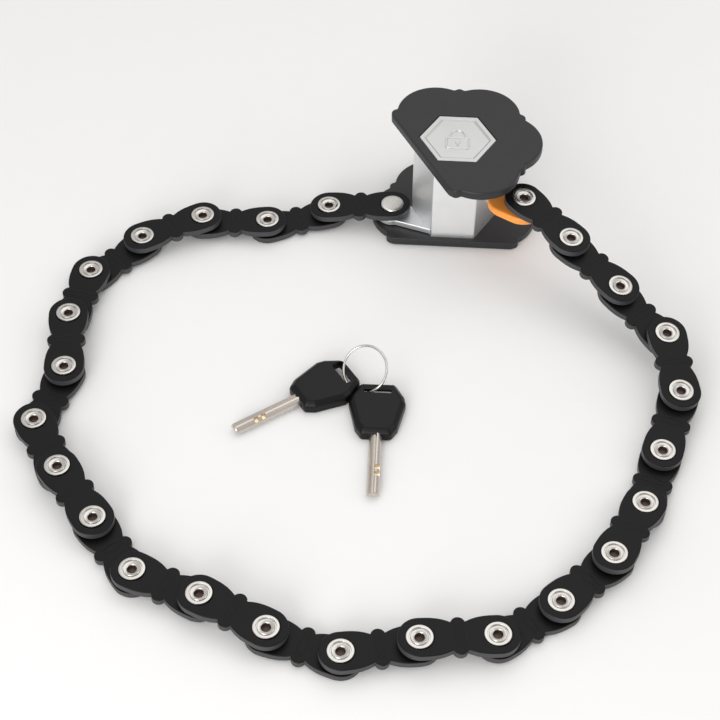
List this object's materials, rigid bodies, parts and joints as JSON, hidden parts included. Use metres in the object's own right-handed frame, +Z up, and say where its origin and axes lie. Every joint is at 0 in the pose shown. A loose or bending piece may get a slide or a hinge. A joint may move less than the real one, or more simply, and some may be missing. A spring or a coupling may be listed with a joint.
{
  "type": "folding bike lock",
  "caption": "Folding bike lock: a loop of flat riveted links anchored to a hexagonal lock body between two scalloped flanges, with a locking tongue and keys.",
  "frame": {"origin": "on the lock body's axis, at the centre of the lower flange's underside", "axes": "+Z up along the lock body's axis; -Y is the body's front flat, which the chain's loop spreads in front of"},
  "size_m": [0.3185, 0.3188, 0.0556],
  "materials": {
    "steel_coated": "matte",
    "steel_plated": "satin",
    "alloy_satin": "satin",
    "flange_black": "matte",
    "cap_chrome": "satin",
    "brass": "satin",
    "cover_orange": "satin",
    "key_nickel": "satin",
    "key_black": "satin"
  },
  "bodies": {
    "lock_body": {"column": "alloy_satin", "lower_flange": "flange_black", "upper_flange": "flange_black", "lower_cap": "cap_chrome", "upper_cap": "cap_chrome", "anchor_lug": "alloy_satin", "tie_bolts": "steel_plated", "cylinder_housing": "brass"},
    "cylinder": {"cylinder_core": "brass", "detainer_discs": "steel_plated", "circlip": "steel_plated", "locking_cam": "steel_plated"},
    "dust_cover": {"dust_cover": "cap_chrome"},
    "link_01": {"link_01": "steel_coated", "rivets_01": "steel_plated"},
    "link_02": {"link_02": "steel_coated"},
    "link_03": {"link_03": "steel_coated", "rivets_03": "steel_plated"},
    "link_04": {"link_04": "steel_coated", "rivets_04": "steel_plated"},
    "link_05": {"link_05": "steel_coated"},
    "link_06": {"link_06": "steel_coated", "rivets_06": "steel_plated"},
    "link_07": {"link_07": "steel_coated", "rivets_07": "steel_plated"},
    "link_08": {"link_08": "steel_coated"},
    "link_09": {"link_09": "steel_coated", "rivets_09": "steel_plated"},
    "link_10": {"link_10": "steel_coated", "rivets_10": "steel_plated"},
    "link_11": {"link_11": "steel_coated"},
    "link_12": {"link_12": "steel_coated", "rivets_12": "steel_plated"},
    "link_13": {"link_13": "steel_coated", "rivets_13": "steel_plated"},
    "link_14": {"link_14": "steel_coated"},
    "link_15": {"link_15": "steel_coated", "rivets_15": "steel_plated"},
    "link_16": {"link_16": "steel_coated", "rivets_16": "steel_plated"},
    "link_17": {"link_17": "steel_coated"},
    "link_18": {"link_18": "steel_coated", "rivets_18": "steel_plated"},
    "link_19": {"link_19": "steel_coated", "rivets_19": "steel_plated"},
    "link_20": {"link_20": "steel_coated"},
    "link_21": {"link_21": "steel_coated", "rivets_21": "steel_plated"},
    "link_22": {"link_22": "steel_coated", "rivets_22": "steel_plated"},
    "link_23": {"link_23": "steel_coated"},
    "link_24": {"link_24": "steel_coated", "rivets_24": "steel_plated"},
    "link_25": {"link_25": "steel_coated", "rivets_25": "steel_plated"},
    "tongue": {"tongue_blade": "steel_plated", "tongue_cover": "cover_orange"},
    "keys": {"key_blades": "key_nickel", "key_bows": "key_black", "key_ring": "key_nickel"}
  },
  "joints": [
    {"name": "key_turn", "type": "hinge", "parent": "lock_body", "child": "cylinder", "pos_m": [0, 0, 0.015], "axis": [0, 0, 1], "range_deg": [-90, 0]},
    {"name": "dust_cover_swivel", "type": "hinge", "parent": "lock_body", "child": "dust_cover", "pos_m": [0.0085, 0, 0.002], "axis": [0, 0, 1], "range_deg": [0, 70]},
    {"name": "anchor_pivot", "type": "hinge", "parent": "lock_body", "child": "link_01", "pos_m": [-0.03169, -0.00445, 0.009], "axis": [0, 0, 1], "range_deg": [-30, 0]},
    {"name": "pivot_01", "type": "hinge", "parent": "link_01", "child": "link_02", "pos_m": [-0.06457, -0.00445, 0.00618], "axis": [0, 0, 1], "range_deg": [-25, 0]},
    {"name": "pivot_02", "type": "hinge", "parent": "link_02", "child": "link_03", "pos_m": [-0.09554, -0.01573, 0.00462], "axis": [0, 0, 1], "range_deg": [-10, 0]},
    {"name": "pivot_03", "type": "hinge", "parent": "link_03", "child": "link_04", "pos_m": [-0.12865, -0.01804, 0.00775], "axis": [0, 0, 1], "range_deg": [-30, 0]},
    {"name": "pivot_04", "type": "hinge", "parent": "link_04", "child": "link_05", "pos_m": [-0.15775, -0.03352, 0.00618], "axis": [0, 0, 1], "range_deg": [-25, 0]},
    {"name": "pivot_05", "type": "hinge", "parent": "link_05", "child": "link_06", "pos_m": [-0.18023, -0.05763, 0.00462], "axis": [0, 0, 1], "range_deg": [-40, 0]},
    {"name": "pivot_06", "type": "hinge", "parent": "link_06", "child": "link_07", "pos_m": [-0.18542, -0.0904, 0.00775], "axis": [0, 0, 1], "range_deg": [-20, 0]},
    {"name": "pivot_07", "type": "hinge", "parent": "link_07", "child": "link_08", "pos_m": [-0.18198, -0.12319, 0.00618], "axis": [0, 0, 1], "range_deg": [-10, 0]},
    {"name": "pivot_08", "type": "hinge", "parent": "link_08", "child": "link_09", "pos_m": [-0.19051, -0.15502, 0.00462], "axis": [0, 0, 1], "range_deg": [-50, 0]},
    {"name": "pivot_09", "type": "hinge", "parent": "link_09", "child": "link_10", "pos_m": [-0.17392, -0.18376, 0.00775], "axis": [0, 0, 1], "range_deg": [-15, 0]},
    {"name": "pivot_10", "type": "hinge", "parent": "link_10", "child": "link_11", "pos_m": [-0.15362, -0.20974, 0.00618], "axis": [0, 0, 1], "range_deg": [-5, 0]},
    {"name": "pivot_11", "type": "hinge", "parent": "link_11", "child": "link_12", "pos_m": [-0.13243, -0.23499, 0.00462], "axis": [0, 0, 1], "range_deg": [-35, 0]},
    {"name": "pivot_12", "type": "hinge", "parent": "link_12", "child": "link_13", "pos_m": [-0.10167, -0.24742, 0.00775], "axis": [0, 0, 1], "range_deg": [-10, 0]},
    {"name": "pivot_13", "type": "hinge", "parent": "link_13", "child": "link_14", "pos_m": [-0.07179, -0.26135, 0.00618], "axis": [0, 0, 1], "range_deg": [-15, 0]},
    {"name": "pivot_14", "type": "hinge", "parent": "link_14", "child": "link_15", "pos_m": [-0.03995, -0.26988, 0.00462], "axis": [0, 0, 1], "range_deg": [-30, 0]},
    {"name": "pivot_15", "type": "hinge", "parent": "link_15", "child": "link_16", "pos_m": [-0.00749, -0.26298, 0.00775], "axis": [0, 0, 1], "range_deg": [-10, 0]},
    {"name": "pivot_16", "type": "hinge", "parent": "link_16", "child": "link_17", "pos_m": [0.02515, -0.2584, 0.00618], "axis": [0, 0, 1], "range_deg": [-35, 0]},
    {"name": "pivot_17", "type": "hinge", "parent": "link_17", "child": "link_18", "pos_m": [0.05182, -0.23902, 0.00462], "axis": [0, 0, 1], "range_deg": [-15, 0]},
    {"name": "pivot_18", "type": "hinge", "parent": "link_18", "child": "link_19", "pos_m": [0.07487, -0.21515, 0.00775], "axis": [0, 0, 1], "range_deg": [-20, 0]},
    {"name": "pivot_19", "type": "hinge", "parent": "link_19", "child": "link_20", "pos_m": [0.08984, -0.18578, 0.00618], "axis": [0, 0, 1], "range_deg": [-15, 0]},
    {"name": "pivot_20", "type": "hinge", "parent": "link_20", "child": "link_21", "pos_m": [0.09947, -0.15426, 0.00462], "axis": [0.0215, -0.0515, 0.9984], "range_deg": [-5, 0]},
    {"name": "pivot_21", "type": "hinge", "parent": "link_21", "child": "link_22", "pos_m": [0.10866, -0.12281, 0.01075], "axis": [0.0793, -0.1106, 0.9907], "range_deg": [-30, 0]},
    {"name": "pivot_22", "type": "hinge", "parent": "link_22", "child": "link_23", "pos_m": [0.10354, -0.09046, 0.01477], "axis": [0.0793, -0.1106, 0.9907], "range_deg": [-40, 0]},
    {"name": "pivot_23", "type": "hinge", "parent": "link_23", "child": "link_24", "pos_m": [0.08112, -0.06724, 0.02163], "axis": [0.1462, -0.1227, 0.9816], "range_deg": [-10, 0]},
    {"name": "pivot_24", "type": "hinge", "parent": "link_24", "child": "link_25", "pos_m": [0.05699, -0.04699, 0.03254], "axis": [0.0739, -0.0739, 0.9945], "range_deg": [-10, 0]},
    {"name": "tongue_pivot", "type": "hinge", "parent": "link_25", "child": "tongue", "pos_m": [0.03378, -0.02379, 0.03599], "axis": [0.0739, -0.0739, 0.9945], "range_deg": [-60, 60]},
    {"name": "keys_lift", "type": "slide", "parent": "lock_body", "child": "keys", "axis": [0, 0, 1], "range_m": [0, 0.05]}
  ]
}
